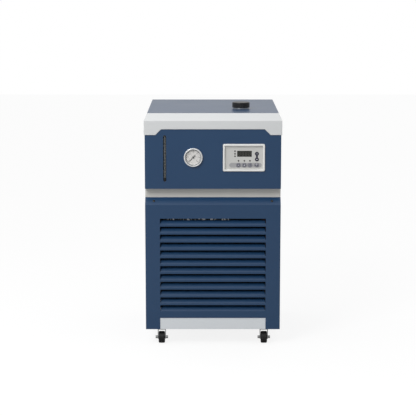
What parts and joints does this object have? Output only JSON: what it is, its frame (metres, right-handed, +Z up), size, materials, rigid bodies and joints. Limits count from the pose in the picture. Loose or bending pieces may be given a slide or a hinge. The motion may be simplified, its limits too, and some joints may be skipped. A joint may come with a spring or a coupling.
{
  "type": "recirculating chiller",
  "caption": "Floor-standing recirculating chiller: louvred sheet-metal cabinet on swivel casters with controller, pressure gauge, level sight tube and filler cap.",
  "frame": {"origin": "on the floor under the middle of the chiller's overall box", "axes": "+Z up, the front with the controls faces -Y, +X to the right seen from the front"},
  "size_m": [0.4552, 0.538, 0.802],
  "materials": {
    "blue_powder_coat": "satin powder coat",
    "white_powder_coat": "satin powder coat",
    "white_moulding": "moulded white plastic",
    "galvanised_sheet": "galvanised",
    "zinc_plated_steel": "bright zinc",
    "black_moulding": "moulded black plastic",
    "black_wheel": "moulded nylon wheel",
    "clear_plastic": "clear",
    "white_dial": "matt white",
    "grey_keypad": "silver grey film",
    "smoked_window": "smoked",
    "lamp_lens": "tinted",
    "green_board": "solder mask",
    "navy_key": "moulded",
    "ringed_key": "moulded",
    "stainless_steel": "brushed",
    "foam": "closed-cell foam",
    "copper": "drawn copper",
    "black_paint": "gloss black",
    "rubber_mount": "moulded rubber",
    "aluminium_fins": "mill finish",
    "motor_grey": "painted",
    "grey_hose": "reinforced hose"
  },
  "bodies": {
    "cabinet": {"left_side_panel": "blue_powder_coat", "right_side_panel": "blue_powder_coat", "rear_panel": "blue_powder_coat", "top_cover": "blue_powder_coat", "upper_front_panel": "blue_powder_coat", "grille_panel": "blue_powder_coat", "base_tray": "white_powder_coat", "waist_rail": "white_powder_coat", "front_visor": "white_moulding", "controller_bezel": "white_moulding", "gauge_bezel": "white_moulding", "mid_shelf": "galvanised_sheet", "panel_screws": "zinc_plated_steel", "caster_plates": "zinc_plated_steel", "gauge_case": "black_moulding", "level_elbows": "black_moulding", "fan_shroud": "black_moulding", "cable_gland": "black_moulding", "gauge_lens": "clear_plastic", "level_tube": "clear_plastic", "gauge_dial": "white_dial", "controller_plate": "grey_keypad", "display_window": "smoked_window", "indicator_lamps": "lamp_lens", "circuit_board": "green_board", "reservoir_tank": "stainless_steel", "filler_neck": "stainless_steel", "supply_port": "stainless_steel", "return_port": "stainless_steel", "drain_fitting": "stainless_steel", "tank_insulation": "foam", "evaporator_coil": "copper", "condenser_tubes": "copper", "refrigerant_pipes": "copper", "filter_drier": "copper", "compressor": "black_paint", "compressor_mounts": "rubber_mount", "condenser_fins": "aluminium_fins", "fan_motor": "motor_grey", "circulation_pump": "motor_grey", "coolant_hoses": "grey_hose"},
    "filler_cap": {"filler_cap": "black_moulding"},
    "needle": {"gauge_pointer": "black_moulding"},
    "float": {"level_float": "black_moulding"},
    "fan": {"fan_rotor": "black_moulding"},
    "key_up": {"key_up": "navy_key"},
    "key_down": {"key_down": "navy_key"},
    "key_set": {"key_set": "ringed_key"},
    "key_pump": {"key_pump": "ringed_key"},
    "key_cooling": {"key_cooling": "ringed_key"},
    "key_power": {"key_power": "ringed_key"},
    "front_left_caster": {"front_left_fork": "zinc_plated_steel"},
    "front_left_roller": {"front_left_wheel": "black_wheel"},
    "front_right_caster": {"front_right_fork": "zinc_plated_steel"},
    "front_right_roller": {"front_right_wheel": "black_wheel"},
    "rear_left_caster": {"rear_left_fork": "zinc_plated_steel"},
    "rear_left_roller": {"rear_left_wheel": "black_wheel"},
    "rear_right_caster": {"rear_right_fork": "zinc_plated_steel"},
    "rear_right_roller": {"rear_right_wheel": "black_wheel"}
  },
  "joints": [
    {"name": "cap_lift", "type": "slide", "parent": "cabinet", "child": "filler_cap", "axis": [0, 0, 1], "range_m": [0, 0.1]},
    {"name": "needle_sweep", "type": "hinge", "parent": "cabinet", "child": "needle", "pos_m": [-0.065, -0.261, 0.636], "axis": [0, 1, 0], "range_deg": [0, 270]},
    {"name": "float_rise", "type": "slide", "parent": "cabinet", "child": "float", "axis": [0, 0, 1], "range_m": [0, 0.14]},
    {"name": "fan_spin", "type": "hinge", "parent": "cabinet", "child": "fan", "pos_m": [0, -0.142, 0.251], "axis": [0, 1, 0], "continuous": true},
    {"name": "key_up_press", "type": "slide", "parent": "cabinet", "child": "key_up", "axis": [0, 1, 0], "range_m": [0, 0.0006], "stiffness_N_per_m": 400},
    {"name": "key_down_press", "type": "slide", "parent": "cabinet", "child": "key_down", "axis": [0, 1, 0], "range_m": [0, 0.0006], "stiffness_N_per_m": 400},
    {"name": "key_set_press", "type": "slide", "parent": "cabinet", "child": "key_set", "axis": [0, 1, 0], "range_m": [0, 0.0006], "stiffness_N_per_m": 400},
    {"name": "key_pump_press", "type": "slide", "parent": "cabinet", "child": "key_pump", "axis": [0, 1, 0], "range_m": [0, 0.0006], "stiffness_N_per_m": 400},
    {"name": "key_cooling_press", "type": "slide", "parent": "cabinet", "child": "key_cooling", "axis": [0, 1, 0], "range_m": [0, 0.0006], "stiffness_N_per_m": 400},
    {"name": "key_power_press", "type": "slide", "parent": "cabinet", "child": "key_power", "axis": [0, 1, 0], "range_m": [0, 0.0006], "stiffness_N_per_m": 400},
    {"name": "front_left_swivel", "type": "hinge", "parent": "cabinet", "child": "front_left_caster", "pos_m": [-0.1725, -0.219, 0.0486], "axis": [0, 0, 1], "continuous": true},
    {"name": "front_left_roll", "type": "hinge", "parent": "front_left_caster", "child": "front_left_roller", "pos_m": [-0.1725, -0.236, 0.02], "axis": [1, 0, 0], "continuous": true},
    {"name": "front_right_swivel", "type": "hinge", "parent": "cabinet", "child": "front_right_caster", "pos_m": [0.1725, -0.219, 0.0486], "axis": [0, 0, 1], "continuous": true},
    {"name": "front_right_roll", "type": "hinge", "parent": "front_right_caster", "child": "front_right_roller", "pos_m": [0.1725, -0.236, 0.02], "axis": [1, 0, 0], "continuous": true},
    {"name": "rear_left_swivel", "type": "hinge", "parent": "cabinet", "child": "rear_left_caster", "pos_m": [-0.1725, 0.197, 0.0486], "axis": [0, 0, 1], "continuous": true},
    {"name": "rear_left_roll", "type": "hinge", "parent": "rear_left_caster", "child": "rear_left_roller", "pos_m": [-0.1725, 0.18, 0.02], "axis": [1, 0, 0], "continuous": true},
    {"name": "rear_right_swivel", "type": "hinge", "parent": "cabinet", "child": "rear_right_caster", "pos_m": [0.1725, 0.197, 0.0486], "axis": [0, 0, 1], "continuous": true},
    {"name": "rear_right_roll", "type": "hinge", "parent": "rear_right_caster", "child": "rear_right_roller", "pos_m": [0.1725, 0.18, 0.02], "axis": [1, 0, 0], "continuous": true}
  ]
}
